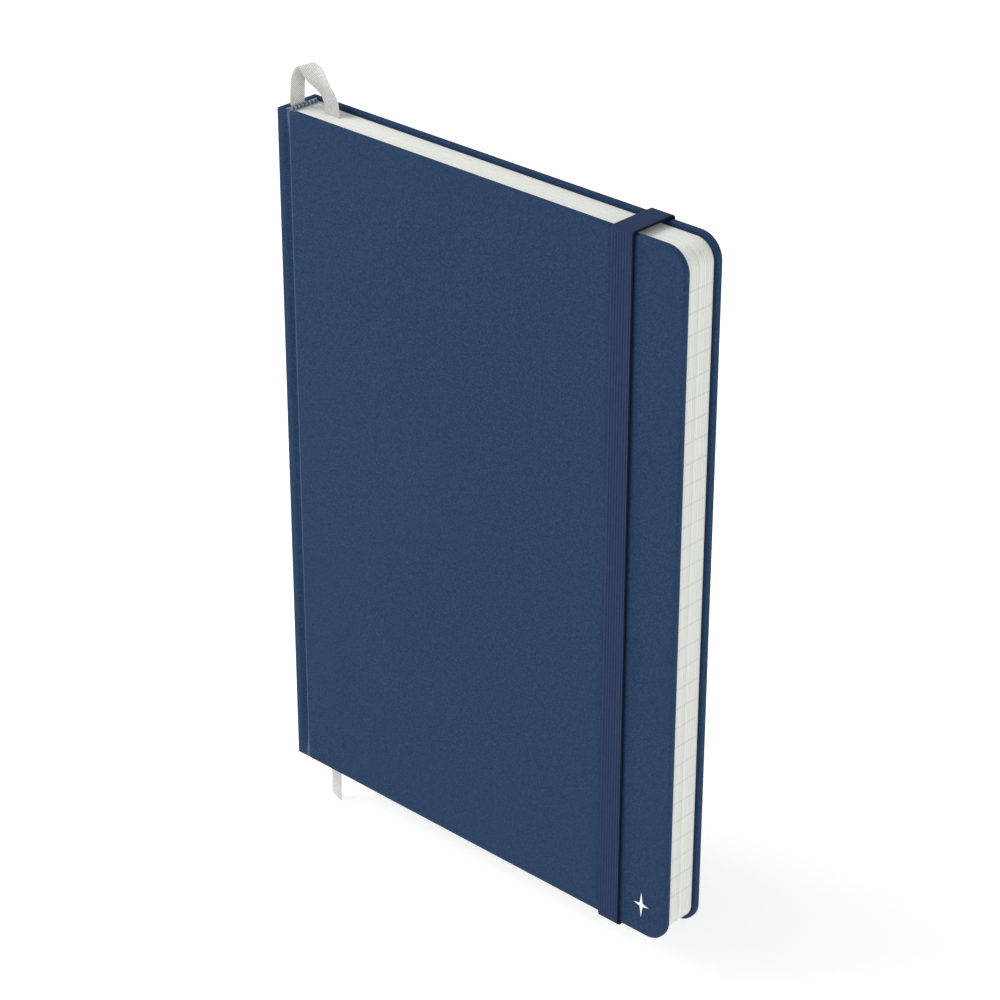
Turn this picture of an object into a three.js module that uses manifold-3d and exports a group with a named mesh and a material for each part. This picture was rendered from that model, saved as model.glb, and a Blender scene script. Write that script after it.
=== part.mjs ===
// A casebound pilot logbook: two cloth-hinged boards, a flat spine, nine sewn signatures,
// a ribbon marker and an elastic closing band. Millimetres, +Z up.
// The origin is the middle of the spine's outer face. +X runs from the spine to the fore-edge,
// the front cover faces -Y and the back cover faces +Y.
import * as THREE from 'three';
import { mergeVertices } from 'three/addons/utils/BufferGeometryUtils.js';
import Module from 'manifold-3d';

const wasm = await Module();
wasm.setup();

// Driving dimensions
const coverWidth = 148;
const coverHeight = 210;
const coverCorner = 7;
const bookThickness = 14.8;
const glueLine = 0.05;
const wrapThickness = 0.35;
const boardThickness = 1.3;
const turnInThickness = 0.3;
const turnInWidth = 13;
const paperThickness = 0.15;
const hingeX = 1.9;
const jointEndX = 6.2;
const grooveDepth = 0.3;
const blockSpineX = 2.65;
const blockMarginX = 1.2;
const blockMarginZ = 1.3;
const signatureCount = 9;
const bandWidth = 7.6;
const bandThickness = 0.8;
const bandCentreX = 127.5;
const ribbonWidth = 5.5;
const ribbonThickness = 0.25;
const boardGapX = 0.3;
const pastedMargin = 2;
const liningThickness = 0.12;
const mullHalfHeight = 95;
const mullStartX = 2.4;

// Heights and depths that follow from them
const halfHeight = coverHeight / 2;
const halfBook = bookThickness / 2;
const edgeInset = wrapThickness + glueLine;
const boardOuter = halfBook - edgeInset;
const boardInner = boardOuter - boardThickness;
const turnInOuter = boardInner - glueLine;
const turnInInner = turnInOuter - turnInThickness;
const pastedownOuter = turnInInner - glueLine;
const pastedownInner = pastedownOuter - paperThickness;
const blockHalf = pastedownInner - glueLine;
const blockHalfHeight = halfHeight - blockMarginZ;
const blockEndX = coverWidth - blockMarginX;
const sewnHalf = blockHalf - paperThickness - glueLine;
const signaturePitch = (2 * sewnHalf + glueLine) / signatureCount;
const signatureThickness = signaturePitch - glueLine;
const bandStartX = bandCentreX - bandWidth / 2;
const bandEndX = bandCentreX + bandWidth / 2;

const finish = (color, roughness) => new THREE.MeshStandardMaterial({ color, roughness, metalness: 0 });
const coverCloth = finish(0x34496a, 0.6);
const greyBoard = finish(0x9a958a, 0.9);
const endPaper = finish(0xe6e5df, 0.85);
const pagePaper = finish(0xdedcd5, 0.85);
const elasticCloth = finish(0x33456f, 0.8);
const ribbonCloth = finish(0xc6c8c6, 0.7);
const bandThread = finish(0x6f86a6, 0.8);

function toSolid(geometry) {
  const bare = geometry.clone();
  bare.deleteAttribute('normal');
  bare.deleteAttribute('uv');
  const merged = mergeVertices(bare, 1e-4);
  const vertProperties = new Float32Array(merged.attributes.position.array);
  const triVerts = new Uint32Array(merged.index.array);
  return new wasm.Manifold(new wasm.Mesh({ numProp: 3, vertProperties, triVerts }));
}

function fromSolid(solid) {
  const { vertProperties, triVerts } = solid.getMesh();
  const geometry = new THREE.BufferGeometry();
  geometry.setAttribute('position', new THREE.BufferAttribute(vertProperties, 3));
  geometry.setIndex(new THREE.BufferAttribute(triVerts, 1));
  return geometry;
}

function cut(geometry, ...tools) {
  let solid = toSolid(geometry);
  for (const tool of tools) solid = solid.subtract(toSolid(tool));
  return fromSolid(solid);
}

function piece(name, geometry, material) {
  const mesh = new THREE.Mesh(geometry, material);
  mesh.name = name;
  return mesh;
}

// An axis-aligned block between two corners
function block(low, high) {
  const size = high.map((value, i) => value - low[i]);
  const geometry = new THREE.BoxGeometry(...size);
  return geometry.translate(...low.map((value, i) => value + size[i] / 2));
}

// A shape drawn in the X-Z plane, given thickness from nearY to farY
function plate(shape, nearY, farY) {
  const settings = { depth: farY - nearY, bevelEnabled: false, curveSegments: 8 };
  const geometry = new THREE.ExtrudeGeometry(shape, settings);
  return geometry.rotateX(Math.PI / 2).translate(0, farY, 0);
}

// A sheet outline with square corners at the spine and round ones at the fore-edge
function sheetShape(startX, endX, halfZ, corner) {
  const shape = new THREE.Shape();
  shape.moveTo(startX, -halfZ);
  shape.lineTo(endX - corner, -halfZ);
  shape.absarc(endX - corner, -halfZ + corner, corner, -Math.PI / 2, 0, false);
  shape.absarc(endX - corner, halfZ - corner, corner, 0, Math.PI / 2, false);
  shape.lineTo(startX, halfZ);
  shape.closePath();
  return shape;
}

// The same depths serve both covers: side is -1 at the front and +1 at the back
function layer(shape, side, depthA, depthB) {
  const ends = [side * depthA, side * depthB].sort((a, b) => a - b);
  return plate(shape, ends[0], ends[1]);
}

// Shallow notches in the head and tail edges, where the elastic band crosses them
function bandNotches() {
  const notchDepth = 0.25;
  const sideRoom = 0.2;
  return [-1, 1].map((end) => {
    const z = [end * (halfHeight - notchDepth), end * (halfHeight + 1)].sort((a, b) => a - b);
    return block([bandStartX - sideRoom, -halfBook - 1, z[0]], [bandEndX + sideRoom, halfBook + 1, z[1]]);
  });
}

// Cuts where the band's ends pass through the back cover and lie behind its endpaper
const slitZ = 92.7;
const slitHalf = 0.6;
const tuckEndZ = 77.5;
const tuckDepth = 0.85;
function slitCuts() {
  const sideRoom = 0.4;
  const lowX = bandStartX - sideRoom;
  const highX = bandEndX + sideRoom;
  const cuts = [];
  for (const end of [-1, 1]) {
    const slit = [end * (slitZ - slitHalf), end * (slitZ + slitHalf)].sort((a, b) => a - b);
    const tuck = [end * tuckEndZ, end * (slitZ + slitHalf)].sort((a, b) => a - b);
    cuts.push(block([lowX, boardInner - 0.01, slit[0]], [highX, halfBook + 1, slit[1]]));
    cuts.push(block([lowX, boardInner - 1, tuck[0]], [highX, boardInner + tuckDepth, tuck[1]]));
  }
  return cuts;
}

// One cover: cloth wrapped round a board with its edges turned in, and an endpaper pasted inside
function cover(prefix, side) {
  const group = new THREE.Group();
  const boardStartX = jointEndX + boardGapX;
  const windowCorner = 0.5;
  const outer = sheetShape(jointEndX + glueLine, coverWidth, halfHeight, coverCorner);
  const pocket = sheetShape(jointEndX - 1, coverWidth - wrapThickness, halfHeight - wrapThickness,
    coverCorner - wrapThickness);
  const window = sheetShape(jointEndX - 1, coverWidth - turnInWidth, halfHeight - turnInWidth, windowCorner);
  const board = sheetShape(boardStartX, coverWidth - edgeInset, halfHeight - edgeInset,
    coverCorner - edgeInset);
  const pasted = sheetShape(boardStartX, coverWidth - pastedMargin, halfHeight - pastedMargin,
    coverCorner - pastedMargin);
  let wrapGeometry = cut(
    layer(outer, side, turnInInner, halfBook),
    layer(pocket, side, turnInOuter, halfBook - wrapThickness),
    layer(window, side, turnInInner - 1, turnInOuter + 0.01),
    ...bandNotches(),
  );
  let boardGeometry = layer(board, side, boardInner, boardOuter);
  if (side > 0) {
    const skinSlits = slitCuts().filter((tool, i) => i % 2 === 0);
    wrapGeometry = cut(wrapGeometry, ...skinSlits);
    boardGeometry = cut(boardGeometry, ...slitCuts());
  }
  group.add(piece(`${prefix}_board`, boardGeometry, greyBoard));
  group.add(piece(`${prefix}_cover_wrap`, wrapGeometry, coverCloth));
  group.add(piece(`${prefix}_pastedown`, layer(pasted, side, pastedownInner, pastedownOuter), endPaper));
  return group;
}

// The cloth that bends in the groove between a board and the spine
function jointStrip(name, side) {
  const depths = [side * (halfBook - grooveDepth), side * (halfBook - grooveDepth - 2 * wrapThickness)];
  depths.sort((a, b) => a - b);
  const low = [hingeX + glueLine, depths[0], -halfHeight];
  const high = [jointEndX, depths[1], halfHeight];
  return piece(name, block(low, high), coverCloth);
}

// The flat spine: a narrow board in a cloth tray that is open towards the pages
function spine() {
  const group = new THREE.Group();
  const skinY = halfBook - wrapThickness;
  const skinZ = halfHeight - wrapThickness;
  const tray = cut(
    block([0, -halfBook, -halfHeight], [hingeX, halfBook, halfHeight]),
    block([wrapThickness, -skinY, -skinZ], [hingeX + 1, skinY, skinZ]),
  );
  const boardEndX = edgeInset + boardThickness;
  const boardHalfZ = halfHeight - edgeInset;
  const boardBox = block([edgeInset, -boardOuter, -boardHalfZ], [boardEndX, boardOuter, boardHalfZ]);
  const liningStartX = boardEndX + glueLine;
  const liningEndX = liningStartX + liningThickness;
  const liningMargin = 0.5;
  const liningY = boardOuter - liningMargin;
  const liningBox = block([liningStartX, -liningY, -boardHalfZ], [liningEndX, liningY, boardHalfZ]);
  group.add(piece('spine_wrap', tray, coverCloth));
  group.add(piece('spine_board', boardBox, greyBoard));
  group.add(piece('spine_lining', liningBox, endPaper));
  return group;
}

// The marker's straight run lies between the fifth and sixth signatures, at a small slant
const markerSignature = 6;
const runTopZ = 104.3;
const runEndZ = -121.6;
const runCentreX = 11.1;
const runSlant = 0.024;
const channelDepth = 0.42;
const channelFaceY = -sewnHalf + (markerSignature - 1) * signaturePitch;
const channelSideRoom = 0.4;
const runNearY = channelFaceY + 0.06;

function slanted(width, nearY, farY, lowZ, highZ) {
  const geometry = block([-width / 2, nearY, lowZ], [width / 2, farY, highZ]);
  return geometry.rotateY(runSlant).translate(runCentreX, 0, 0);
}

// The sewn block: nine signatures, numbered from the front, between two flyleaves
function textBlock() {
  const group = new THREE.Group();
  const leafCorner = coverCorner - blockMarginX;
  const sheet = sheetShape(blockSpineX, blockEndX, blockHalfHeight, leafCorner);
  for (let number = 1; number <= signatureCount; number += 1) {
    const nearY = -sewnHalf + (number - 1) * signaturePitch;
    let geometry = plate(sheet, nearY, nearY + signatureThickness);
    if (number === markerSignature) {
      const channelWidth = ribbonWidth + 2 * channelSideRoom;
      const channel = slanted(channelWidth, nearY - 1, nearY + channelDepth, -halfHeight, halfHeight);
      geometry = cut(geometry, channel);
    }
    group.add(piece(`signature_0${number}`, geometry, pagePaper));
  }
  const flyleafStartX = 9.2;
  const foldGap = 0.3;
  const mullEndX = blockSpineX - glueLine;
  const flyleaf = sheetShape(flyleafStartX, blockEndX, blockHalfHeight, leafCorner);
  const tipped = block(
    [blockSpineX, -blockHalf, -blockHalfHeight],
    [flyleafStartX - foldGap, -sewnHalf - glueLine, blockHalfHeight],
  );
  group.add(piece('front_flyleaf', plate(flyleaf, -blockHalf, -blockHalf + paperThickness), endPaper));
  group.add(piece('front_endpaper_hinge', tipped, endPaper));
  group.add(piece('rear_flyleaf', plate(sheet, blockHalf - paperThickness, blockHalf), endPaper));
  const mull = block([mullStartX, -sewnHalf, -mullHalfHeight], [mullEndX, sewnHalf, mullHalfHeight]);
  group.add(piece('mull', mull, endPaper));
  return group;
}

// A sewn band at one end of the block's spine: a round bead on a short tape
function endBand() {
  const beadRadius = 0.6;
  const beadX = 2.9;
  const beadZ = blockHalfHeight + beadRadius + glueLine;
  const tapeX = 2.22;
  const tapeThickness = 0.13;
  const tapeLength = 8;
  const tapeEndZ = blockHalfHeight - tapeLength;
  const shape = new THREE.Shape();
  shape.moveTo(tapeX, tapeEndZ);
  shape.lineTo(tapeX + tapeThickness, tapeEndZ);
  shape.lineTo(tapeX + tapeThickness, beadZ - 0.25);
  shape.absarc(beadX, beadZ, beadRadius, Math.PI * 1.15, Math.PI * 2.85, false);
  shape.lineTo(tapeX, beadZ + 0.3);
  shape.closePath();
  return plate(shape, -sewnHalf, sewnHalf);
}

// A flat strap swept along a curve; its width direction turns from one vector to another
function strap(points, widthFrom, widthTo, width, thickness, steps) {
  const curve = new THREE.CatmullRomCurve3(points, false, 'centripetal');
  const turnStart = 0.35;
  const turnEnd = 0.82;
  const positions = [];
  const index = [];
  for (let step = 0; step <= steps; step += 1) {
    const t = step / steps;
    const centre = curve.getPointAt(t);
    const along = curve.getTangentAt(t);
    const turn = THREE.MathUtils.smoothstep(t, turnStart, turnEnd);
    const across = widthFrom.clone().lerp(widthTo, turn);
    across.addScaledVector(along, -across.dot(along)).normalize();
    const normal = along.clone().cross(across);
    for (const [a, n] of [[-1, -1], [1, -1], [1, 1], [-1, 1]]) {
      const corner = centre.clone().addScaledVector(across, a * width / 2);
      corner.addScaledVector(normal, n * thickness / 2);
      positions.push(corner.x, corner.y, corner.z);
    }
  }
  for (let step = 0; step < steps; step += 1) {
    for (let side = 0; side < 4; side += 1) {
      const a = step * 4 + side;
      const b = step * 4 + ((side + 1) % 4);
      // Both broad faces are split along the same diagonal, so that they stay parallel in a twist
      if (side === 2) index.push(a, b, a + 4, b, b + 4, a + 4);
      else index.push(a, b, b + 4, a, b + 4, a + 4);
    }
  }
  const last = steps * 4;
  index.push(0, 2, 1, 0, 3, 2);
  index.push(last, last + 1, last + 2, last, last + 2, last + 3);
  const geometry = new THREE.BufferGeometry();
  geometry.setAttribute('position', new THREE.Float32BufferAttribute(positions, 3));
  geometry.setIndex(index);
  return geometry;
}

// The ribbon marker: glued down the spine, looped over the head, and run between the leaves
function marker() {
  const group = new THREE.Group();
  const anchorX = 1.95;
  const anchorCentreY = -1.4;
  const anchorLowZ = 70;
  const anchorTopZ = 105.2;
  const jointGap = 0.3;
  const loopSteps = 36;
  const half = ribbonWidth / 2;
  const anchorBox = block(
    [anchorX, anchorCentreY - half, anchorLowZ],
    [anchorX + ribbonThickness, anchorCentreY + half, anchorTopZ],
  );
  const runX = (z) => runCentreX + z * runSlant;
  const runY = runNearY + ribbonThickness / 2;
  const loopPoints = [
    [anchorX + ribbonThickness / 2, anchorCentreY, anchorTopZ + jointGap],
    [2.35, -1.4, 110],
    [3.1, -1.35, 114.2],
    [5.2, -1.2, 116.9],
    [8, -0.8, 115.2],
    [10.4, 0.15, 112],
    [12.2, 0.65, 109.4],
    [13.4, runY, 107],
    [runX(runTopZ + jointGap), runY, runTopZ + jointGap],
  ].map((point) => new THREE.Vector3(...point));
  const loop = strap(loopPoints, new THREE.Vector3(0, 1, 0), new THREE.Vector3(1, 0.02, 0),
    ribbonWidth, ribbonThickness, loopSteps);
  const run = slanted(ribbonWidth, runNearY, runNearY + ribbonThickness, runEndZ, runTopZ);
  group.add(piece('ribbon_anchor', anchorBox, ribbonCloth));
  group.add(piece('ribbon_loop', loop, ribbonCloth));
  group.add(piece('ribbon_run', run, ribbonCloth));
  return group;
}

// A flat profile in the Y-Z plane, as wide as the band
function bandPiece(name, outline) {
  const shape = new THREE.Shape(outline.map(([y, z]) => new THREE.Vector2(y, z)));
  const geometry = new THREE.ExtrudeGeometry(shape, { depth: bandWidth, bevelEnabled: false });
  // shape x becomes +Y, shape y becomes +Z and the depth becomes +X
  geometry.applyMatrix4(new THREE.Matrix4().makeBasis(
    new THREE.Vector3(0, 1, 0), new THREE.Vector3(0, 0, 1), new THREE.Vector3(1, 0, 0),
  ));
  return piece(name, geometry.translate(bandStartX, 0, 0), elasticCloth);
}

// The elastic band, in the stretches that move differently when it is pulled off
function elasticBand() {
  const group = new THREE.Group();
  const innerFace = halfBook + glueLine;
  const outerFace = innerFace + bandThickness;
  const innerEnd = halfHeight + glueLine;
  const outerEnd = innerEnd + bandThickness;
  const rearStretchY = 6.2;
  const frontStretchY = -7.1;
  const stretchGap = 0.1;
  const slitRoom = 0.2;
  const tuckOuter = boardInner + tuckDepth - glueLine;
  const tuckInner = boardInner + glueLine;
  const slitLow = slitZ - slitHalf + slitRoom;
  const slitHigh = slitZ + slitHalf - slitRoom;
  const tuckStart = tuckEndZ + slitRoom;
  for (const [label, end] of [['head', 1], ['tail', -1]]) {
    const orient = (outline) => (end > 0 ? outline : outline.slice().reverse());
    group.add(bandPiece(`elastic_${label}_anchor`, orient([
      [tuckInner, end * tuckStart], [tuckOuter, end * tuckStart], [tuckOuter, end * slitLow],
      [outerFace, end * slitLow], [outerFace, end * outerEnd], [rearStretchY, end * outerEnd],
      [rearStretchY, end * innerEnd], [innerFace, end * innerEnd], [innerFace, end * slitHigh],
      [tuckInner, end * slitHigh],
    ])));
    group.add(bandPiece(`elastic_${label}_run`, orient([
      [frontStretchY, end * innerEnd], [rearStretchY - stretchGap, end * innerEnd],
      [rearStretchY - stretchGap, end * outerEnd], [frontStretchY, end * outerEnd],
    ])));
  }
  const bendY = frontStretchY - stretchGap;
  group.add(bandPiece('elastic_front_run', [
    [-outerFace, -outerEnd], [bendY, -outerEnd], [bendY, -innerEnd], [-innerFace, -innerEnd],
    [-innerFace, innerEnd], [bendY, innerEnd], [bendY, outerEnd], [-outerFace, outerEnd],
  ]));
  return group;
}

const logbook = new THREE.Group();
logbook.add(cover('back', 1), cover('front', -1));
logbook.add(jointStrip('rear_joint_strip', 1), jointStrip('front_joint_strip', -1));
logbook.add(spine(), textBlock());
logbook.add(piece('headband', endBand(), bandThread));
logbook.add(piece('tailband', endBand().rotateX(Math.PI), bandThread));
logbook.add(marker(), elasticBand());

export default logbook;
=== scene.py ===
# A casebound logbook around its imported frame: leatherette case, sewn leaves, ribbon marker and elastic band.
import math
import random

import bmesh
import bpy
from mathutils import Euler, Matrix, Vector


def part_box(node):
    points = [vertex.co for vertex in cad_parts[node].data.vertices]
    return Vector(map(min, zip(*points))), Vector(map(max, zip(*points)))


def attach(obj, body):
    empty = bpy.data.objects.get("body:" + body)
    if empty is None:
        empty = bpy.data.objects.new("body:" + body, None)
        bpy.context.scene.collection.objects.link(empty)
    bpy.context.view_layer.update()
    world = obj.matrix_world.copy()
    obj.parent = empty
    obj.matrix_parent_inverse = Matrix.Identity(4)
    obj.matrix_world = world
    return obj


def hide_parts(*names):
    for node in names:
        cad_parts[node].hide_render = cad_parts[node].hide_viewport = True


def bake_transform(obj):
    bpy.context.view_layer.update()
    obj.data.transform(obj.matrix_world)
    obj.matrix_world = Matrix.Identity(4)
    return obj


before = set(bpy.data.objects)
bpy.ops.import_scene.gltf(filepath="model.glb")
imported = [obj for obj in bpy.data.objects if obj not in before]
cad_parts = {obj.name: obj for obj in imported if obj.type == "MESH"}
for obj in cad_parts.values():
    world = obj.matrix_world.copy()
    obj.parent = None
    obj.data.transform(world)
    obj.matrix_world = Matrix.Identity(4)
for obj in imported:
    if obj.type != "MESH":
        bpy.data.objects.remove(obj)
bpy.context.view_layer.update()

MM = 0.001
scene = bpy.context.scene
random.seed(11)


def box_mm(node):
    """The lowest and highest corners of a CAD node, in millimetres."""
    low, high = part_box(node)
    return Vector(low) / MM, Vector(high) / MM


# ---------------------------------------------------------------- sizes in millimetres
COVER_HIGH = box_mm("front_cover_wrap")[1]
BACK_HIGH = box_mm("back_cover_wrap")[1]
SPINE_HIGH = box_mm("spine_wrap")[1]
JOINT_HIGH = box_mm("front_joint_strip")[1]
BOARD_HIGH = box_mm("front_board")[1]
BEAD_HIGH = box_mm("headband")[1]
LAST_LOW = box_mm("signature_09")[0]
TUCK_LOW = box_mm("elastic_head_anchor")[0]
FIRST_LOW, FIRST_HIGH = box_mm("signature_01")
MULL_LOW, MULL_HIGH = box_mm("mull")
RUN_LOW, RUN_HIGH = box_mm("ribbon_run")
GLUED_LOW, GLUED_HIGH = box_mm("ribbon_anchor")
BAND_LOW, BAND_HIGH = box_mm("elastic_front_run")

# The case. The front cover is on the -Y side and the back cover on the +Y side. The covers' faces are
# given as depths from the middle of the book, and FOLD_X is where the front groove rises to its cover.
HALF_BOOK = BACK_HIGH.y
HALF_HEIGHT = COVER_HIGH.z
FORE_EDGE = COVER_HIGH.x
COVER_START = JOINT_HIGH.x + 0.05
CORNER = 7.0
SKIN = 0.35
TURN_IN = 13.0
TURN_IN_FACE = -COVER_HIGH.y
BOARD_FACE = -BOARD_HIGH.y
FOLD_X = 4.6

# The pages and their end bands. Stitches are counted from STITCH_START along Y.
SIGNATURES = 9
LEAVES = 8
PITCH = (LAST_LOW.y - FIRST_LOW.y) / (SIGNATURES - 1)
LEAF_CORNER = CORNER - 1.2
STITCH = 0.7
STITCH_START = -10.0

# The ribbon marker. Its run lies among the first leaves of one signature and leans by RUN_TILT, and its
# other end is glued over the backs of several.
RIBBON_WIDTH = 5.5
RIBBON_THICKNESS = 0.25
MARKED_SIGNATURE = 6
GLUED_SIGNATURES = range(2, 7)
RUN_TILT = 0.024
RUN_X = 11.1
RUN_TOP = RUN_HIGH.z
RUN_Y = RUN_LOW.y + RIBBON_THICKNESS / 2

# The elastic band. BAND_Y and BAND_Z are the middle of the webbing's thickness, BEND_Y and BEND_Z the
# centres of its bends, STRETCH_Y where the ends' stretches meet, and SLIT_Z where the ends go in.
RIBS = 8
BAND_WIDTH = BAND_HIGH.x - BAND_LOW.x
BAND_X = (BAND_HIGH.x + BAND_LOW.x) / 2
BAND_THICKNESS = 0.74
BAND_Y = HALF_BOOK + 0.45
BAND_Z = HALF_HEIGHT + 0.45
BAND_BEND = 0.65
BEND_Y = BAND_Y - BAND_BEND
BEND_Z = BAND_Z - BAND_BEND
STRETCH_Y = 6.15
SLIT_Z = 92.7

# Edges sharper than CREASE degrees stay crisp; QUARTER_TURN is the steps of a rolled edge.
CREASE = 38
QUARTER_TURN = [math.radians(angle) for angle in range(0, 91, 15)]


# ---------------------------------------------------------------- mesh helpers
def mesh_piece(name, vertices, faces, crease=CREASE):
    """A smooth-shaded closed mesh from points in millimetres."""
    merge_distance = 1e-7
    mesh = bpy.data.meshes.new(name)
    mesh.from_pydata([tuple(value * MM for value in vertex) for vertex in vertices], [], faces)
    work = bmesh.new()
    work.from_mesh(mesh)
    bmesh.ops.remove_doubles(work, verts=work.verts, dist=merge_distance)
    bmesh.ops.recalc_face_normals(work, faces=work.faces)
    work.to_mesh(mesh)
    work.free()
    mesh.shade_smooth()
    mesh.set_sharp_from_angle(angle=math.radians(crease))
    piece = bpy.data.objects.new(name, mesh)
    scene.collection.objects.link(piece)
    return piece


def tube_faces(count, loops, base=0):
    """Faces of a body through loops of count points each: a cap at each end, then the sides."""
    last = base + (loops - 1) * count
    faces = [tuple(range(base, base + count)), tuple(range(last, last + count))]
    for ring in range(loops - 1):
        for k in range(count):
            a = base + ring * count + k
            b = base + ring * count + (k + 1) % count
            faces.append((a, b, b + count, a + count))
    return faces


def loft(name, loops, crease=CREASE):
    """A closed body through loops that all have the same number of points."""
    vertices = [point for loop in loops for point in loop]
    return mesh_piece(name, vertices, tube_faces(len(loops[0]), len(loops)), crease)


def block(name, x_span, y_span, z_span):
    """A plain block between two values on each axis."""
    low_y, high_y = y_span
    low_z, high_z = z_span
    corners = [(low_y, low_z), (high_y, low_z), (high_y, high_z), (low_y, high_z)]
    return loft(name, [[(x, y, z) for y, z in corners] for x in x_span])


def dress(piece, material, body=None, replaced=()):
    """Material, body and replaced nodes of one piece."""
    piece.data.materials.clear()
    piece.data.materials.append(material)
    if body:
        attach(piece, body)
    if replaced:
        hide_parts(*replaced)


def arc(centre, radius, start, end, steps):
    """Points on an arc in a plane, from start to end degrees."""
    angles = [math.radians(start + (end - start) * k / steps) for k in range(steps + 1)]
    return [(centre[0] + radius * math.cos(a), centre[1] + radius * math.sin(a)) for a in angles]


def line(start, end, steps):
    """Evenly spaced points from start to end, both included."""
    return [tuple(a + (b - a) * k / steps for a, b in zip(start, end)) for k in range(steps + 1)]


def direction(path, k):
    """The direction of a path at one of its points."""
    ahead = Vector(path[min(k + 1, len(path) - 1)])
    behind = Vector(path[max(k - 1, 0)])
    return (ahead - behind).normalized()


def mark(piece, name, value):
    """A number at each point of a piece, for its material to read; value takes a point in millimetres."""
    layer = piece.data.attributes.new(name, "FLOAT", "POINT")
    for point, vertex in zip(layer.data, piece.data.vertices):
        point.value = value(*(vertex.co / MM))
    return piece


def smooth(value):
    """0 to 1 with an easy start and end."""
    value = min(max(value, 0.0), 1.0)
    return value * value * (3 - 2 * value)


# ---------------------------------------------------------------- material helpers
class Paint:
    """A Principled material whose nodes are added by name."""

    def __init__(self, name, roughness=0.6, specular=0.3):
        self.material = bpy.data.materials.new(name)
        self.material.use_nodes = True
        self.tree = self.material.node_tree
        self.shader = self.tree.nodes["Principled BSDF"]
        self.shader.inputs["Roughness"].default_value = roughness
        self.shader.inputs["Specular IOR Level"].default_value = specular
        self.place = self.node("ShaderNodeTexCoord").outputs["Object"]

    def node(self, kind, settings=None, **values):
        made = self.tree.nodes.new(kind)
        for key, value in (settings or {}).items():
            setattr(made, key, value)
        for key, value in values.items():
            self.feed(made.inputs[key.replace("_", " ")], value)
        return made

    def feed(self, socket, value):
        """A link where value is another node's output, and a plain setting where it isn't."""
        if isinstance(value, bpy.types.NodeSocket):
            self.tree.links.new(value, socket)
        else:
            socket.default_value = value

    def math(self, operation, a, b=0.0):
        made = self.node("ShaderNodeMath", {"operation": operation})
        self.feed(made.inputs[0], a)
        self.feed(made.inputs[1], b)
        return made.outputs[0]

    def noise(self, scale, detail=2.0, where=None):
        made = self.node("ShaderNodeTexNoise", Vector=where or self.place, Scale=scale, Detail=detail)
        return made.outputs["Fac"]

    def stretch(self, scales):
        """The place with its own scale along each axis."""
        made = self.node("ShaderNodeMapping", Vector=self.place)
        made.inputs["Scale"].default_value = scales
        return made.outputs["Vector"]

    def axes(self):
        made = self.node("ShaderNodeSeparateXYZ", Vector=self.place)
        return made.outputs["X"], made.outputs["Y"], made.outputs["Z"]

    def ramp(self, factor, stops, interpolation="LINEAR"):
        made = self.node("ShaderNodeValToRGB", Fac=factor)
        made.color_ramp.interpolation = interpolation
        while len(made.color_ramp.elements) < len(stops):
            made.color_ramp.elements.new(0.5)
        for element, (position, colour) in zip(made.color_ramp.elements, stops):
            element.position = position
            element.color = (*colour, 1.0)
        return made.outputs["Color"]

    def spread(self, factor, low, high):
        """A factor of 0 to 1 spread from low to high."""
        return self.node("ShaderNodeMapRange", Value=factor, To_Min=low, To_Max=high).outputs["Result"]

    def mix(self, factor, a, b):
        made = self.node("ShaderNodeMix", {"data_type": "RGBA"})
        self.feed(made.inputs["Factor"], factor)
        self.feed(made.inputs[6], a if isinstance(a, bpy.types.NodeSocket) else (*a, 1.0))
        self.feed(made.inputs[7], b if isinstance(b, bpy.types.NodeSocket) else (*b, 1.0))
        return made.outputs[2]

    def waves(self, along, length_mm):
        """A sine wave along a distance."""
        return self.math("SINE", self.math("MULTIPLY", along, 2 * math.pi / (length_mm * MM)))

    def marked(self, name):
        """The number that mark() left on the piece."""
        return self.node("ShaderNodeAttribute", {"attribute_name": name}).outputs["Fac"]

    def colour(self, value):
        self.feed(self.shader.inputs["Base Color"], value)

    def roughness(self, value):
        self.feed(self.shader.inputs["Roughness"], value)

    def bump(self, height, depth_mm, strength=1.0):
        made = self.node("ShaderNodeBump", Height=height, Strength=strength, Distance=depth_mm * MM)
        self.feed(self.shader.inputs["Normal"], made.outputs["Normal"])


def srgb(*values):
    """A colour given in 0 to 255 display values, as linear light."""
    shares = [value / 255 for value in values]
    return tuple(((s + 0.055) / 1.055) ** 2.4 if s > 0.04045 else s / 12.92 for s in shares)


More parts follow.
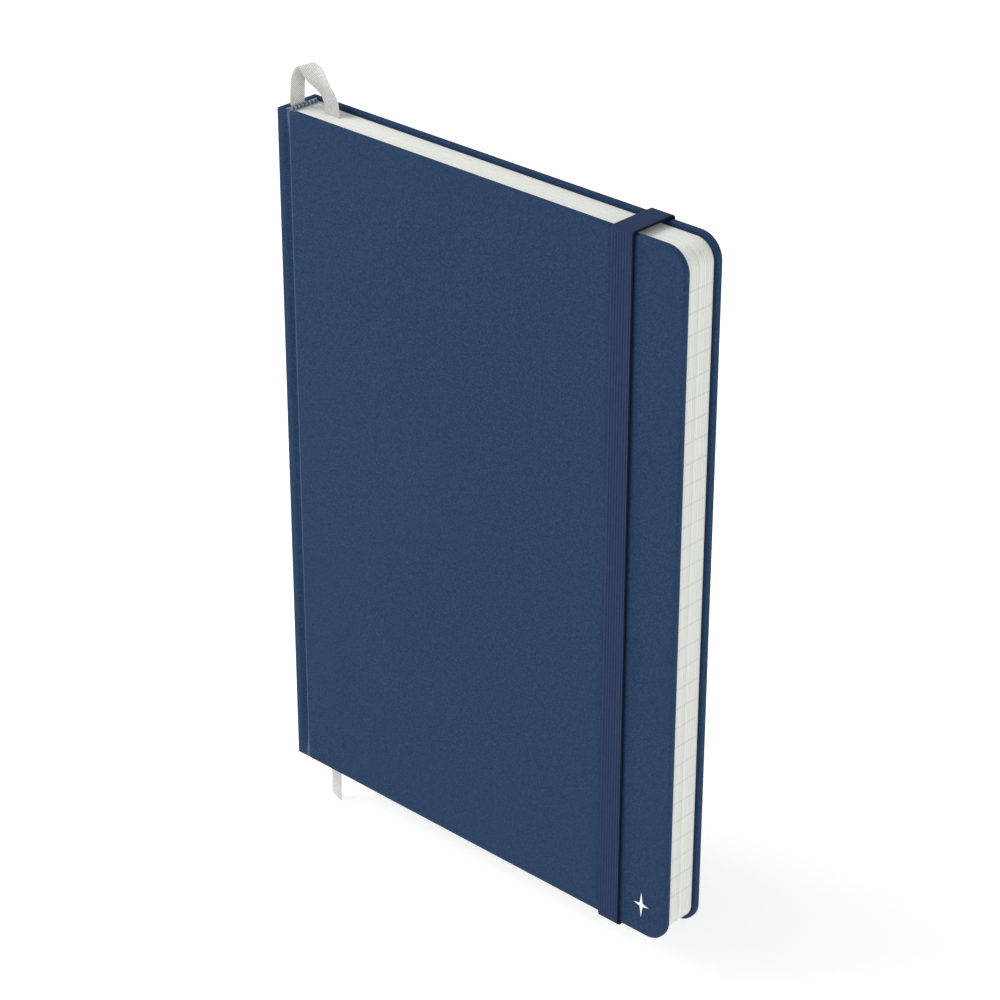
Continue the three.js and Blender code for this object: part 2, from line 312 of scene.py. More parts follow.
# ---------------------------------------------------------------- materials
def leatherette():
    """Fine pebble grain: rounded grains with a painted highlight on their crowns and painted shade in the
    creases, over a slow change of tone.
    """
    grain_scale = 2500.0
    wander_scale = 900.0
    wander_share = 0.00035
    pale_fleck_share = 0.16
    paint = Paint("leatherette", specular=0.15)
    wander = paint.node("ShaderNodeTexNoise", Vector=paint.place, Scale=wander_scale, Detail=1.0)
    bent = paint.node("ShaderNodeMix", {"data_type": "VECTOR"})
    paint.feed(bent.inputs["Factor"], wander_share)
    paint.feed(bent.inputs[4], paint.place)
    paint.feed(bent.inputs[5], wander.outputs["Color"])
    grain = paint.node("ShaderNodeTexVoronoi", Vector=bent.outputs[1], Scale=grain_scale)
    pebble = paint.spread(grain.outputs["Distance"], 1.0, 0.0)
    tone = paint.noise(28.0, 3.0)
    # Painted shade and highlight: the creases between the grains are painted darker and the grains' crowns
    # paler.
    crease_shade_tone = paint.mix(tone, srgb(20, 46, 76), srgb(24, 51, 82))
    light = paint.mix(tone, srgb(32, 62, 94), srgb(37, 69, 102))
    tops = paint.ramp(pebble, [(0.45, (0, 0, 0)), (0.95, (1, 1, 1))])
    # Pale flecks scattered at random over the cloth.
    pale_flecks = paint.ramp(paint.noise(1500.0, 2.0), [(0.6, (0, 0, 0)), (0.72, (pale_fleck_share,) * 3)])
    cloth = paint.mix(tops, crease_shade_tone, light)
    cloth = paint.mix(pale_flecks, cloth, srgb(92, 114, 140))
    patchy = paint.spread(paint.noise(260.0, 3.0), 0.4, 1.5)
    # Partly rubbed wear and partly a painted highlight: paler cloth where the pieces are marked, along the
    # spine's rolled corners and the groove's far wall.
    wear_and_highlight = paint.math("MULTIPLY", paint.marked("wear_and_highlight"), patchy)
    paint.colour(paint.mix(wear_and_highlight, cloth, srgb(82, 104, 130)))
    paint.roughness(paint.spread(pebble, 0.75, 0.58))
    paint.bump(pebble, 0.05, 0.5)
    return paint.material


def ruled_paper():
    """Off-white leaves with pale ruled lines that run out to the fore-edge."""
    line_pitch = 6.12
    first_line = 92.7
    line_share = 0.045
    paint = Paint("ruled_paper", roughness=0.85, specular=0.2)
    fibre = paint.noise(2200.0, 3.0)
    streak = paint.noise(1.0, 2.0, paint.stretch((60.0, 5200.0, 60.0)))
    base = paint.mix(streak, srgb(222, 223, 217), srgb(230, 231, 226))
    base = paint.mix(paint.spread(fibre, 0.0, 0.5), base, srgb(200, 202, 197))
    z = paint.axes()[2]
    turns = paint.math("MULTIPLY", paint.math("SUBTRACT", first_line * MM, z), 1 / (line_pitch * MM))
    on_line = paint.math("LESS_THAN", paint.math("PINGPONG", turns, 0.5), line_share)
    inside = paint.math("LESS_THAN", paint.math("ABSOLUTE", z), (first_line + 1) * MM)
    broken = paint.spread(paint.noise(1.0, 1.0, paint.stretch((400.0, 3000.0, 400.0))), 0.15, 0.75)
    strength = paint.math("MULTIPLY", paint.math("MULTIPLY", on_line, inside), broken)
    paint.colour(paint.mix(strength, base, srgb(190, 193, 197)))
    paint.bump(fibre, 0.01, 0.3)
    return paint.material


def endpaper():
    """Plain heavy paper with a faint fibre."""
    paint = Paint("endpaper", roughness=0.8, specular=0.2)
    fibre = paint.noise(900.0, 4.0)
    paint.colour(paint.mix(fibre, srgb(202, 201, 194), srgb(218, 217, 210)))
    paint.bump(fibre, 0.015, 0.4)
    return paint.material


def grey_board():
    """Bare bookbinder's board: grey with dark and light flecks."""
    paint = Paint("grey_board", roughness=0.9, specular=0.15)
    fleck = paint.noise(2200.0, 4.0)
    tones = [(0.3, srgb(110, 106, 98)), (0.55, srgb(152, 147, 138)), (0.75, srgb(178, 172, 160))]
    paint.colour(paint.ramp(fleck, tones))
    paint.bump(fleck, 0.03, 0.5)
    return paint.material


def woven_lining():
    """Open-weave cloth with crossing threads."""
    thread = 0.5
    paint = Paint("woven_lining", roughness=0.9, specular=0.1)
    _, y, z = paint.axes()
    weave = paint.math("MAXIMUM", paint.waves(y, thread), paint.waves(z, thread))
    paint.colour(paint.mix(paint.spread(weave, 0.0, 1.0), srgb(176, 173, 163), srgb(228, 226, 216)))
    paint.bump(weave, 0.05, 0.6)
    return paint.material


def elastic_webbing():
    """Ribbed elastic: the ribs are in the mesh; here are the fine cross threads, painted shade in the grooves
    between the ribs with a painted highlight on their crests, and a painted shadow along the band's fore-edge
    side.
    """
    thread = 0.42
    lit_from, lit_to = -0.01, 7.57
    paint = Paint("elastic_webbing", roughness=0.85, specular=0.12)
    _, y, z = paint.axes()
    threads = paint.waves(paint.math("ADD", y, z), thread)
    across = paint.marked("ribs_across")
    # Painted shade and highlight: darker in the grooves between the ribs, paler on their crests.
    groove = paint.math("PINGPONG", across, 0.5)
    shade = paint.math("MULTIPLY", paint.spread(groove, 0.5, 1.35), paint.spread(threads, 0.68, 1.0))
    shade = paint.math("MULTIPLY", shade, paint.spread(paint.noise(1400.0, 2.0), 0.7, 1.2))
    # Painted shadow: past lit_to, the last rib's far half is painted nearly black, as the shadow beside the
    # band.
    from_middle = paint.math("ABSOLUTE", paint.math("SUBTRACT", across, (lit_from + lit_to) / 2))
    shade = paint.math("MULTIPLY", shade, paint.math("LESS_THAN", from_middle, (lit_to - lit_from) / 2))
    paint.colour(paint.mix(shade, srgb(11, 17, 34), srgb(52, 71, 108)))
    paint.bump(threads, 0.03, 0.5)
    return paint.material


def ribbon_satin():
    """Woven marker ribbon with a slanting, coarse thread."""
    thread = 0.62
    rising_share, falling_share = 0.6, 0.4
    paint = Paint("ribbon_satin", roughness=0.7, specular=0.2)
    x, y, z = paint.axes()
    across = paint.math("ADD", x, y)
    rising = paint.waves(paint.math("ADD", z, across), thread)
    falling = paint.waves(paint.math("SUBTRACT", z, across), thread)
    rising = paint.math("MULTIPLY", rising, rising_share)
    weave = paint.math("ADD", rising, paint.math("MULTIPLY", falling, falling_share))
    weave = paint.math("ADD", weave, paint.spread(paint.noise(2500.0, 2.0), -0.7, 0.7))
    tone = paint.node("ShaderNodeMapRange", Value=weave, From_Min=-1.0, From_Max=1.0).outputs["Result"]
    paint.colour(paint.mix(tone, srgb(150, 150, 147), srgb(244, 243, 240)))
    paint.bump(tone, 0.05, 0.55)
    return paint.material


def band_thread():
    """Sewn end band: stitches in two colours, in turn."""
    paint = Paint("band_thread", roughness=0.8, specular=0.15)
    y = paint.axes()[1]
    from_start = paint.math("ADD", y, -STITCH_START * MM)
    turn = paint.math("FRACT", paint.math("MULTIPLY", from_start, 0.5 / (STITCH * MM)))
    striped = paint.ramp(turn, [(0.0, srgb(52, 76, 114)), (0.5, srgb(150, 160, 172))], "CONSTANT")
    fuzz = paint.noise(3000.0, 2.0)
    paint.colour(paint.mix(paint.spread(fuzz, 0.0, 0.35), striped, srgb(120, 132, 150)))
    paint.bump(fuzz, 0.03, 0.5)
    return paint.material


def foil():
    """Pale stamped foil, very slightly uneven."""
    paint = Paint("pale_foil", roughness=0.4, specular=0.5)
    patch = paint.noise(700.0, 3.0)
    paint.colour(paint.mix(patch, srgb(226, 229, 232), srgb(246, 247, 248)))
    paint.roughness(paint.spread(patch, 0.35, 0.5))
    return paint.material


LEATHER = leatherette()
PAPER = ruled_paper()
ENDPAPER = endpaper()
BOARD = grey_board()
LINING = woven_lining()
ELASTIC = elastic_webbing()
RIBBON = ribbon_satin()
THREAD = band_thread()
FOIL = foil()


# ---------------------------------------------------------------- the case
def cover_outline(start_x, inset, notch):
    """A cover's edge seen from the front: round corners at the fore-edge, and a dip under the band."""
    slope = 0.5
    slack = 0.25
    straight = 40
    least_radius = 0.4
    corner_steps = 12
    end_x = FORE_EDGE - inset
    half_z = HALF_HEIGHT - inset
    radius = max(CORNER - inset, least_radius)
    dip_half = BAND_WIDTH / 2 + slack
    dips = [(-dip_half - slope, 0), (-dip_half, notch), (dip_half, notch), (dip_half + slope, 0)]
    bottom = [(start_x, -half_z), (start_x + straight, -half_z)]
    bottom += [(BAND_X + x, -half_z + depth) for x, depth in dips]
    right = arc((end_x - radius, -half_z + radius), radius, -90, 0, corner_steps)
    right += arc((end_x - radius, half_z - radius), radius, 0, 90, corner_steps)
    return bottom + right + [(x, -z) for x, z in reversed(bottom)]


def cover_skin(name, side):
    """The cloth of one cover: outer face, rolled edge, turn-in, and the pocket that holds the board."""
    outer_roll = 0.62
    inner_roll = 0.6
    ease = 0.06
    wall = 0.18
    lip = 0.08
    notch = 0.22
    pocket_face = BOARD_FACE - 0.05
    edge = []
    for a in QUARTER_TURN:
        edge.append((outer_roll * (1 - math.sin(a)), HALF_BOOK - outer_roll * (1 - math.cos(a))))
    for a in QUARTER_TURN:
        edge.append((inner_roll * (1 - math.cos(a)), TURN_IN_FACE + inner_roll * (1 - math.sin(a))))

    # each ring: how far it starts from the groove's side, its inset, and its depth in Y
    rings = [(2 * ease, outer_roll + 0.5, HALF_BOOK), (ease, outer_roll + 0.2, HALF_BOOK)]
    rings += [(0.0, inset, depth) for inset, depth in edge]
    rings += [(ease, inner_roll + 0.3, TURN_IN_FACE), (2 * ease, TURN_IN - 0.1, TURN_IN_FACE)]
    rings += [(wall, TURN_IN, TURN_IN_FACE + lip), (wall, TURN_IN, pocket_face)]
    rings += [(wall, SKIN, pocket_face), (wall, SKIN, HALF_BOOK - SKIN)]
    loops = []
    for step_in, inset, depth in rings:
        dip = notch if inset < outer_roll else 0.0
        outline = cover_outline(COVER_START + step_in, inset, dip)
        loops.append([(x, side * depth, z) for x, z in outline])
    return loft(name, loops)


def cut_slits(cover):
    """Two slits in the back cover, where the band's ends go in."""
    half_slit = 0.55
    half_length = BAND_WIDTH / 2 + 0.3
    cut_depth = 0.5
    for end in (-1, 1):
        ring = arc((BAND_X + half_length - half_slit, end * SLIT_Z), half_slit, -90, 90, 8)
        ring += arc((BAND_X - half_length + half_slit, end * SLIT_Z), half_slit, 90, 270, 8)
        depths = (HALF_BOOK - cut_depth, HALF_BOOK + cut_depth)
        cutter = loft("slit_cutter", [[(x, y, z) for x, z in ring] for y in depths])
        step = cover.modifiers.new("slit", "BOOLEAN")
        step.operation = "DIFFERENCE"
        step.object = cutter
        step.solver = "EXACT"
        bpy.context.view_layer.update()
        result = cover.evaluated_get(bpy.context.evaluated_depsgraph_get())
        cut = bpy.data.meshes.new_from_object(result)
        cover.modifiers.clear()
        cut.set_sharp_from_angle(angle=math.radians(CREASE))
        cover.data = cut
        bpy.data.objects.remove(cutter)


def spine_outline(inset):
    """The spine's edge seen from outside, with softened corners."""
    corner = 0.5
    least_radius = 0.1
    half_y = HALF_BOOK - inset
    half_z = HALF_HEIGHT - inset
    radius = max(corner - inset, least_radius)
    points = []
    for sign_y, sign_z, first in ((1, 1, 0), (-1, 1, 90), (-1, -1, 180), (1, -1, 270)):
        centre = (sign_y * (half_y - radius), sign_z * (half_z - radius))
        points += arc(centre, radius, first, first + 90, 4)
    return points


def spine_skin():
    """The spine's cloth: a shallow tray with a soft outer edge, open towards the pages."""
    roll = 0.5
    wear_highlight_from, wear_highlight_to = 0.02, 0.45
    wear_highlight_share = 0.6
    depth = SPINE_HIGH.x
    rings = [(roll + 0.5, 0.0), (roll + 0.2, 0.0)]
    rings += [(roll * (1 - math.sin(a)), roll * (1 - math.cos(a))) for a in QUARTER_TURN]
    rings += [(0.0, depth - 0.1), (0.0, depth), (SKIN, depth), (SKIN, SKIN)]
    skin = loft("spine_leather", [[(x, y, z) for y, z in spine_outline(inset)] for inset, x in rings])

    # The spine's rolled corners are marked paler: partly rubbed wear, partly a painted highlight.
    def wear_and_highlight(x, y, z):
        return wear_highlight_share if wear_highlight_from < x < wear_highlight_to and abs(y) > HALF_BOOK - roll else 0.0

    return mark(skin, "wear_and_highlight", wear_and_highlight)


def groove_depth(x):
    """How far the cloth dips in the groove beside the spine."""
    dip = 0.72
    fall = 0.5
    rise_start, rise = 0.52, 0.26
    share = (x - SPINE_HIGH.x) / (COVER_START - SPINE_HIGH.x)
    return dip * smooth(share / fall) * (1 - smooth((share - rise_start) / rise))


def joint_strip(name, side, x_span, depths, crown):
    """A strip of the groove between two depths below the cover's face, rounded at the head and tail."""
    steps = 20
    fade_length = 9.0
    fade_steps = 8
    wear_highlight_share = 0.7
    wear_highlight_half, wear_highlight_fade = 0.75, 0.6
    start_x, end_x = x_span
    near, far = depths
    radius = (far - near) / 2
    middle = HALF_BOOK - (near + far) / 2
    reach = HALF_HEIGHT - crown - radius
    down = [reach - fade_length * k / fade_steps for k in range(1, fade_steps + 1)]
    down += [-z for z in reversed(down)]
    ring = arc((reach, middle), radius, -90, 90, 8) + [(z, middle + radius) for z in down]
    ring += arc((-reach, middle), radius, 90, 270, 8)
    ring += [(z, middle - radius) for z in reversed(down)]
    loops = []
    for step in range(steps + 1):
        x = start_x + (end_x - start_x) * step / steps
        loop = []
        for z, depth in ring:
            dip = groove_depth(x) * smooth((HALF_HEIGHT - abs(z)) / fade_length)
            loop.append((x, side * (depth - dip), z))
        loops.append(loop)

    # A paler line along the groove's far wall at FOLD_X: partly rubbed wear, partly a painted highlight.
    def wear_and_highlight(x, y, z):
        return wear_highlight_share * smooth((wear_highlight_half - abs(x - FOLD_X)) / wear_highlight_fade)

    return mark(loft(name, loops), "wear_and_highlight", wear_and_highlight)


def groove(label, material, slot, depths, crown=0.0, front_nodes=(), rear_nodes=()):
    """One layer of both grooves. The front groove has two hinges, so its layer is in two strips."""
    hinge_x = SPINE_HIGH.x
    middle_x = 4.0
    near_spine = joint_strip(f"front_groove_{label}", -1, (hinge_x, middle_x), depths, crown)
    dress(near_spine, material, None, front_nodes)
    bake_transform(near_spine)
    near_cover = joint_strip(f"front_joint_{label}", -1, (middle_x, COVER_START), depths, crown)
    dress(near_cover, material, None, front_nodes)
    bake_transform(near_cover)
    rear = joint_strip(f"rear_groove_{label}", 1, (hinge_x, COVER_START), depths, crown)
    dress(rear, material, None, rear_nodes)
    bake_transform(rear)


def case():
    """Both covers, the spine, and the cloth and its paper lining in the grooves."""
    front = cover_skin("front_cover_leather", -1)
    dress(front, LEATHER, "front_cover", ["front_cover_wrap"])
    back = cover_skin("back_cover_leather", 1)
    cut_slits(back)
    dress(back, LEATHER, "back_cover", ["back_cover_wrap"])
    dress(spine_skin(), LEATHER, "spine", ["spine_wrap"])
    groove("leather", LEATHER, "cover_cloth", (0.0, 1.24),
           front_nodes=["front_joint_strip"], rear_nodes=["rear_joint_strip"])
    groove("lining", ENDPAPER, "endpaper", (1.26, 1.42), crown=1.3)


def compass_mark():
    """A plain four-pointed star in foil, low on the front cover."""
    centre_x = FORE_EDGE - 9.0
    centre_z = -HALF_HEIGHT + 9.8
    long_arm = 4.1
    short_arm = 2.7
    waist = 0.75
    sunk, proud = 0.02, 0.03
    points = []
    for k in range(8):
        radius = waist if k % 2 else (long_arm if k % 4 == 2 else short_arm)
        angle = math.radians(45 * k)
        points.append((centre_x + radius * math.cos(angle), centre_z + radius * math.sin(angle)))
    depths = (-HALF_BOOK + sunk, -HALF_BOOK - proud)
    star = loft("compass_star", [[(x, y, z) for x, z in points] for y in depths])
    dress(star, FOIL, "front_cover")


# ---------------------------------------------------------------- the pages
def signature_start(number):
    """Where a signature starts in Y, counted from the front."""
    return FIRST_LOW.y + (number - 1) * PITCH


def leaf_loops(low_y, high_y, end_x, half_z, pressed):
    """Columns of one leaf from the spine to the fore-edge; pressed gives its depths beside the ribbon."""
    pressed_half = 3.1
    easing = 1.2
    corner_steps = 8
    corner_start = end_x - LEAF_CORNER
    stations = [(FIRST_LOW.x, 0, 0)]
    if pressed:
        eased = pressed_half + easing
        for offset, share in ((-eased, 0), (-pressed_half, 1), (pressed_half, 1), (eased, 0)):
            stations.append((RUN_X + offset, RUN_TILT * half_z, share))
    stations.append((corner_start, 0, 0))
    for k in range(1, corner_steps + 1):
        turn = math.radians(90 * k / corner_steps)
        stations.append((end_x - LEAF_CORNER * (1 - math.sin(turn)), 0, 0))
    loops = []
    for x, lean, share in stations:
        past = max(x - corner_start, 0.0)
        z = half_z
        if past > 0:
            z = half_z - LEAF_CORNER + math.sqrt(max(LEAF_CORNER ** 2 - past ** 2, 0.01))
        low = low_y + share * (pressed[0] - low_y if pressed else 0)
        high = high_y + share * (pressed[1] - high_y if pressed else 0)
        loops.append([(x - lean, low, -z), (x + lean, low, z), (x + lean, high, z), (x - lean, high, -z)])
    return loops


def signature(number):
    """Eight leaves as thin closed sheets, each cut a little unevenly."""
    thickness = 0.114
    uneven_x = 0.07
    uneven_z = 0.06
    pressed_leaves = 3
    pressed_gap = 0.01
    pressed_step = 0.015
    pressed_thickness = 0.75 * pressed_step
    step = (FIRST_HIGH.y - FIRST_LOW.y) / LEAVES
    vertices = []
    faces = []
    for leaf in range(LEAVES):
        near = signature_start(number) + leaf * step
        pressed = None
        if number == MARKED_SIGNATURE and leaf < pressed_leaves:
            start = RUN_HIGH.y + pressed_gap + leaf * pressed_step
            pressed = (start, start + pressed_thickness)
        end_x = FIRST_HIGH.x - random.uniform(0.0, uneven_x)
        half_z = FIRST_HIGH.z - random.uniform(0.0, uneven_z)
        loops = leaf_loops(near, near + thickness, end_x, half_z, pressed)
        faces += tube_faces(len(loops[0]), len(loops), len(vertices))
        vertices += [point for loop in loops for point in loop]
    node = f"signature_{number:02d}"
    dress(mesh_piece(f"leaves_{number:02d}", vertices, faces), PAPER, node, [node])


def end_band(number, end):
    """One signature's share of the sewn band: ridged stitches round a cord, on a short tape."""
    label = "headband" if end > 0 else "tailband"
    bend_gap = 0.07
    steps = 12
    thin, swelling, roundness = 0.84, 0.14, 0.6
    tape_length = 8.0
    tape_back, tape_front = -0.68, -0.56
    wrap_start, wrap_end = 205, 515
    radius = (BEAD_HIGH.z - FIRST_HIGH.z) / 2
    centre_x = FIRST_LOW.x + 0.25
    centre_z = BEAD_HIGH.z - radius
    start = signature_start(number) + bend_gap
    length = PITCH - 2 * bend_gap
    loops = []
    for step in range(steps + 1):
        y = start + length * step / steps
        swell = abs(math.sin(math.pi * (y - STITCH_START) / STITCH))
        bead = radius * (thin + swelling * swell ** roundness)
        ring = [(centre_x + x, centre_z - tape_length) for x in (tape_back, tape_front)]
        ring += arc((centre_x, centre_z), bead, wrap_start, wrap_end, 14)
        loops.append([(x, y, end * z) for x, z in ring])
    piece = loft(f"{label}_{number:02d}", loops)
    dress(piece, THREAD, f"signature_{number:02d}", [label])


def mull_strip(number):
    """One signature's share of the cloth glued over the block's spine."""
    bend_gap = 0.07
    start = signature_start(number)
    strip = block(f"mull_{number:02d}", (MULL_LOW.x, MULL_HIGH.x),
                  (start + bend_gap, start + PITCH - bend_gap), (-MULL_HIGH.z, MULL_HIGH.z))
    dress(strip, LINING, f"signature_{number:02d}", ["mull"])


# ---------------------------------------------------------------- the ribbon marker
def between(a, b, start, end, value):
    """The point at value, on the straight line that is at a for start and at b for end."""
    share = (value - start) / (end - start)
    return a * (1 - share) + b * share


def curve_through(points, steps):
    """A smooth path through the points, as a centripetal Catmull-Rom curve, evenly spaced."""
    fine_steps = 40
    points = [Vector(point) for point in points]
    padded = [2 * points[0] - points[1]] + points + [2 * points[-1] - points[-2]]
    fine = []
    for k in range(len(points) - 1):
        a, b, c, d = padded[k:k + 4]
        t = [0.0]
        for near, far in ((a, b), (b, c), (c, d)):
            t.append(t[-1] + math.sqrt((far - near).length))
        for step in range(fine_steps):
            s = t[1] + (t[2] - t[1]) * step / fine_steps
            ab = between(a, b, t[0], t[1], s)
            bc = between(b, c, t[1], t[2], s)
            cd = between(c, d, t[2], t[3], s)
            abc = between(ab, bc, t[0], t[2], s)
            bcd = between(bc, cd, t[1], t[3], s)
            fine.append(between(abc, bcd, t[1], t[2], s))
    fine.append(points[-1])
    return spaced(fine, steps)


def spaced(points, steps):
    """The same path with evenly spaced points."""
    lengths = [0.0]
    for a, b in zip(points, points[1:]):
        lengths.append(lengths[-1] + (b - a).length)
    out = []
    k = 0
    for step in range(steps + 1):
        goal = lengths[-1] * step / steps
        while k < len(points) - 2 and lengths[k + 1] < goal:
            k += 1
        share = (goal - lengths[k]) / max(lengths[k + 1] - lengths[k], 1e-9)
        out.append(points[k].lerp(points[k + 1], min(share, 1.0)))
    return out


def ribbon_section(across, normal):
    """A flat woven section with slightly thicker, rounded selvedges."""
    half = RIBBON_WIDTH / 2
    thick = RIBBON_THICKNESS / 2
    edge = 0.3 * thick
    top = [(share * half, 0.86 * thick) for share in (-0.88, -0.4, 0.4, 0.88)]
    top = [(-0.96 * half, thick)] + top + [(0.96 * half, thick)]
    ring = top + [(half, edge), (half, -edge)]
    ring += [(s, -t) for s, t in reversed(top)] + [(-half, -edge), (-half, edge)]
    return [across * s + normal * t for s, t in ring]


def ribbon_strap(name, path, widths):
    """A strap along the path whose width direction is given at each point."""
    loops = []
    for k, centre in enumerate(path):
        along = direction(path, k)
        across = widths[k] - along * widths[k].dot(along)
        across.normalize()
        normal = along.cross(across)
        loops.append([tuple(centre + offset) for offset in ribbon_section(across, normal)])
    return loft(name, loops, crease=50)


def ribbon_loop():
    """From the top of the glued end over the head, and down between the leaves."""
    steps = 150
    turn_start, turn_end = 0.35, 0.82
    run_x = RUN_X + RUN_TILT * RUN_TOP
    route = [(2.075, -1.4, 105.22), (2.35, -1.4, 110.0), (3.1, -1.35, 114.2), (5.2, -1.2, 116.9),
             (8.0, -0.8, 115.2), (10.4, 0.15, 112.0), (12.2, 0.65, 109.4), (13.4, RUN_Y, 107.0),
             (run_x, RUN_Y, RUN_TOP)]
    along_spine = Vector((0, 1, 0))
    along_leaves = Vector((1, 0.02, 0))
    widths = []
    for k in range(steps + 1):
        turn = smooth((k / steps - turn_start) / (turn_end - turn_start))
        widths.append(along_spine.lerp(along_leaves, turn))
    piece = ribbon_strap("ribbon_over_head", curve_through(route, steps), widths)
    dress(piece, RIBBON, None, ["ribbon_loop"])
    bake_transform(piece)


def ribbon_glued(number):
    """One signature's share of the ribbon's end, glued down the block's spine below the head."""
    bend_gap = 0.12
    start = signature_start(number)
    y_span = (max(start + bend_gap, GLUED_LOW.y), min(start + PITCH - bend_gap, GLUED_HIGH.y))
    piece = block(f"ribbon_glued_{number:02d}", (GLUED_LOW.x, GLUED_HIGH.x), y_span,
                  (GLUED_LOW.z, GLUED_HIGH.z))
    dress(piece, RIBBON, f"signature_{number:02d}", ["ribbon_anchor"])


def ribbon_run():
    """Straight between the leaves, with a short tail that hangs out and turns a little."""
    tail_z = -104.5
    tail_steps = 14
    tail_turn = 13
    turn_length = 5
    stations = [RUN_TOP, 60.0, 0.0, -60.0, -100.0, -103.0]
    stations += [tail_z + (RUN_LOW.z - tail_z) * k / tail_steps for k in range(tail_steps + 1)]
    path = []
    widths = []
    for z in stations:
        path.append(Vector((RUN_X + RUN_TILT * z, RUN_Y, z)))
        turn = math.radians(tail_turn * smooth((tail_z - z) / turn_length))
        widths.append(Vector((math.cos(turn), -math.sin(turn), 0)))
    piece = ribbon_strap("ribbon_between_leaves", path, widths)
    dress(piece, RIBBON, "ribbon", ["ribbon_run"])


# ---------------------------------------------------------------- the elastic band
def band_section():
    """Half-round ribs on both faces of the webbing, as (across, out) pairs."""
    per_rib = 5
    rib_height = 0.07
    roundness = 0.7
    edge_share = 0.8
    points = RIBS * per_rib
    flat = BAND_THICKNESS / 2 - 0.1
    top = []
    for k in range(points + 1):
        share = k / points
        height = flat + rib_height * abs(math.sin(math.pi * share * RIBS)) ** roundness
        top.append((-BAND_WIDTH / 2 + BAND_WIDTH * share, height if 0 < k < points else flat * edge_share))
    return top + [(s, -t) for s, t in reversed(top)]


def band_strap(name, path):
    """Webbing along a path in the Y-Z plane; its outer face is on the left of the path."""
    section = band_section()
    loops = []
    for k, (y, z) in enumerate(path):
        along = direction(path, k)
        loops.append([(BAND_X + s, y - along.y * t, z + along.x * t) for s, t in section])
    rib = BAND_WIDTH / RIBS
    return mark(loft(name, loops, crease=60), "ribs_across", lambda x, y, z: (x - BAND_LOW.x) / rib)


def elastic_front():
    """The stretch down the front cover, with the bends at its two ends."""
    path = arc((-BEND_Y, -BEND_Z), BAND_BEND, 270, 180, 8)[:-1]
    path += line((-BAND_Y, -BEND_Z), (-BAND_Y, BEND_Z), 60)
    path += arc((-BEND_Y, BEND_Z), BAND_BEND, 180, 90, 8)[1:]
    piece = band_strap("elastic_front", path)
    dress(piece, ELASTIC, "elastic_front", ["elastic_front_run"])


def elastic_run(label, end):
    """The stretch over the head or tail, from the back cover's edge to the front cover's."""
    path = line((-BEND_Y, end * BAND_Z), (STRETCH_Y, end * BAND_Z), 40)
    piece = band_strap(f"elastic_over_{label}", path)
    dress(piece, ELASTIC, None, [f"elastic_{label}_run"])
    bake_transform(piece)


def elastic_anchor(label, end):
    """The end that bends onto the back cover, goes in at its slit and is tucked behind the pastedown."""
    tuck_y = TUCK_LOW.y + BAND_THICKNESS / 2
    tuck_straight, tuck_end = 85.0, 77.8
    path = line((STRETCH_Y, BAND_Z), (BEND_Y, BAND_Z), 14)[:-1]
    path += arc((BEND_Y, BEND_Z), BAND_BEND, 90, 0, 8)
    path += line((BAND_Y, BEND_Z), (BAND_Y, SLIT_Z + BAND_BEND), 10)[1:-1]
    path += arc((BEND_Y, SLIT_Z + BAND_BEND), BAND_BEND, 0, -90, 6)
    path += [(tuck_y + BAND_BEND + 0.05, SLIT_Z)]
    path += arc((tuck_y + BAND_BEND, SLIT_Z - BAND_BEND), BAND_BEND, 90, 180, 6)
    path += [(tuck_y, tuck_straight), (tuck_y, tuck_end)]
    piece = band_strap(f"elastic_anchor_{label}", [(y, end * z) for y, z in path])
    dress(piece, ELASTIC, None, [f"elastic_{label}_anchor"])
    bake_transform(piece)


# ---------------------------------------------------------------- carried-over nodes
def carried_nodes():
    """Materials for the CAD nodes that keep their own shape."""
    boards = ("front_board", "back_board", "spine_board")
    papers = ("front_pastedown", "back_pastedown", "front_flyleaf", "rear_flyleaf", "front_endpaper_hinge",
              "spine_lining")
    for names, material in ((boards, BOARD), (papers, ENDPAPER)):
        for name in names:
            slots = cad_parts[name].data.materials
            slots.clear()
            slots.append(material)


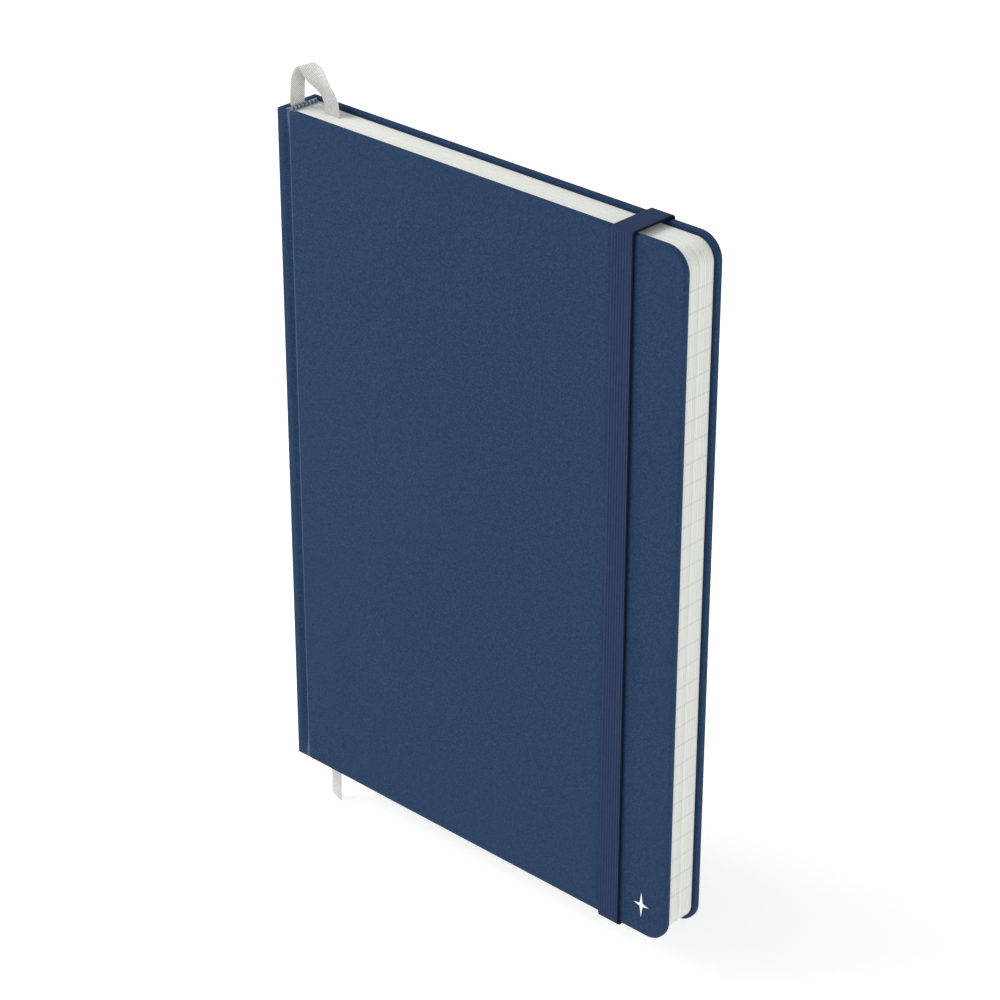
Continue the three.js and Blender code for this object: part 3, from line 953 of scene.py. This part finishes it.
# ---------------------------------------------------------------- floor, light and camera, in metres
def floor():
    """A plain pale floor just below the lowest point, with a slight glow."""
    half = 6.0
    gap = 0.0002
    z = RUN_LOW.z * MM - gap
    mesh = bpy.data.meshes.new("floor")
    corners = [(-half, -half, z), (half, -half, z), (half, half, z), (-half, half, z)]
    mesh.from_pydata(corners, [], [(0, 1, 2, 3)])
    piece = bpy.data.objects.new("floor", mesh)
    scene.collection.objects.link(piece)
    paint = Paint("pale_floor", roughness=0.9, specular=0.1)
    paint.shader.inputs["Base Color"].default_value = (0.93, 0.93, 0.93, 1.0)
    paint.shader.inputs["Emission Color"].default_value = (1.0, 1.0, 1.0, 1.0)
    paint.shader.inputs["Emission Strength"].default_value = 0.35
    mesh.materials.append(paint.material)


def lights():
    """An even white surround and three soft lights."""
    world = bpy.data.worlds.new("studio")
    world.use_nodes = True
    background = world.node_tree.nodes["Background"]
    background.inputs["Color"].default_value = (1.0, 1.0, 1.0, 1.0)
    background.inputs["Strength"].default_value = 0.42
    scene.world = world
    target = Vector((0.05, 0.0, 0.03))
    for name, place, size, power in (("key", (-0.5, -0.45, 0.75), 0.6, 8.2),
                                     ("fill", (1.3, -0.3, 0.5), 1.0, 7.0),
                                     ("back", (0.1, 1.2, 0.8), 1.0, 5.0)):
        light = bpy.data.lights.new(name, "AREA")
        light.size = size
        light.energy = power
        holder = bpy.data.objects.new(name, light)
        holder.location = place
        holder.rotation_euler = (target - Vector(place)).to_track_quat("-Z", "Y").to_euler()
        scene.collection.objects.link(holder)


def camera():
    """The view from the front and the fore-edge side, from a little above."""
    azimuth = math.radians(43.15)
    elevation = math.radians(27.74)
    roll = math.radians(0.08)
    data = bpy.data.cameras.new("camera")
    data.sensor_width = 36.0
    data.lens = 113.83
    data.clip_start = 0.05
    data.clip_end = 50.0
    holder = bpy.data.objects.new("camera", data)
    holder.location = (0.6084, -0.56595, 0.41551)
    level = math.cos(elevation)
    forward = Vector((-math.sin(azimuth) * level, math.cos(azimuth) * level, -math.sin(elevation)))
    look = forward.to_track_quat("-Z", "Y")
    holder.rotation_euler = (look.to_matrix() @ Euler((0, 0, roll)).to_matrix()).to_euler()
    scene.collection.objects.link(holder)
    scene.camera = holder
    scene.view_settings.view_transform = "Standard"


case()
compass_mark()
for number in range(1, SIGNATURES + 1):
    signature(number)
    mull_strip(number)
    end_band(number, 1)
    end_band(number, -1)
ribbon_loop()
for number in GLUED_SIGNATURES:
    ribbon_glued(number)
ribbon_run()
elastic_front()
for label, end in (("head", 1), ("tail", -1)):
    elastic_run(label, end)
    elastic_anchor(label, end)
carried_nodes()
floor()
lights()
camera()

bpy.context.view_layer.update()
